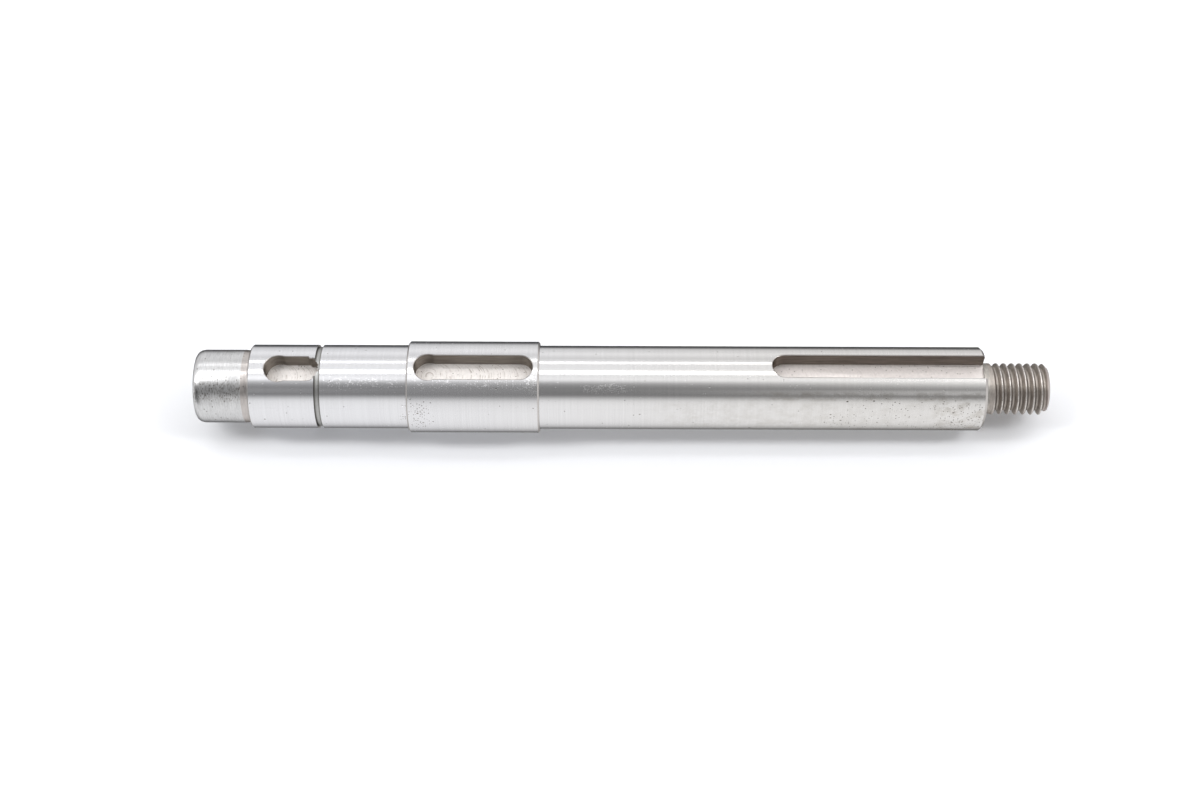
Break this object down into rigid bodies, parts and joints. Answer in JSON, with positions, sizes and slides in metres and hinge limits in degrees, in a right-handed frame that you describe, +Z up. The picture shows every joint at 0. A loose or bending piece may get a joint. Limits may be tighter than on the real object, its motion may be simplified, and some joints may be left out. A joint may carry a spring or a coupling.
{
  "type": "keyed drive shaft",
  "caption": "Stepped steel drive shaft with a plain journal, ring groove, raised collar, three keyways and a threaded end.",
  "frame": {"origin": "on the shaft's axis, in the plane of the shoulder between the gear seat and the collar", "axes": "+X along the shaft's axis, towards the threaded end; +Z up, the way the gear and collar keyways face as the shaft lies on a flat surface; +Y across the shaft"},
  "size_m": [0.1625, 0.0176, 0.0176],
  "materials": {
    "ground_steel": "turned and ground, with light staining, pits and handling marks"
  },
  "bodies": {
    "root": {"shaft": "ground_steel"}
  },
  "joints": []
}
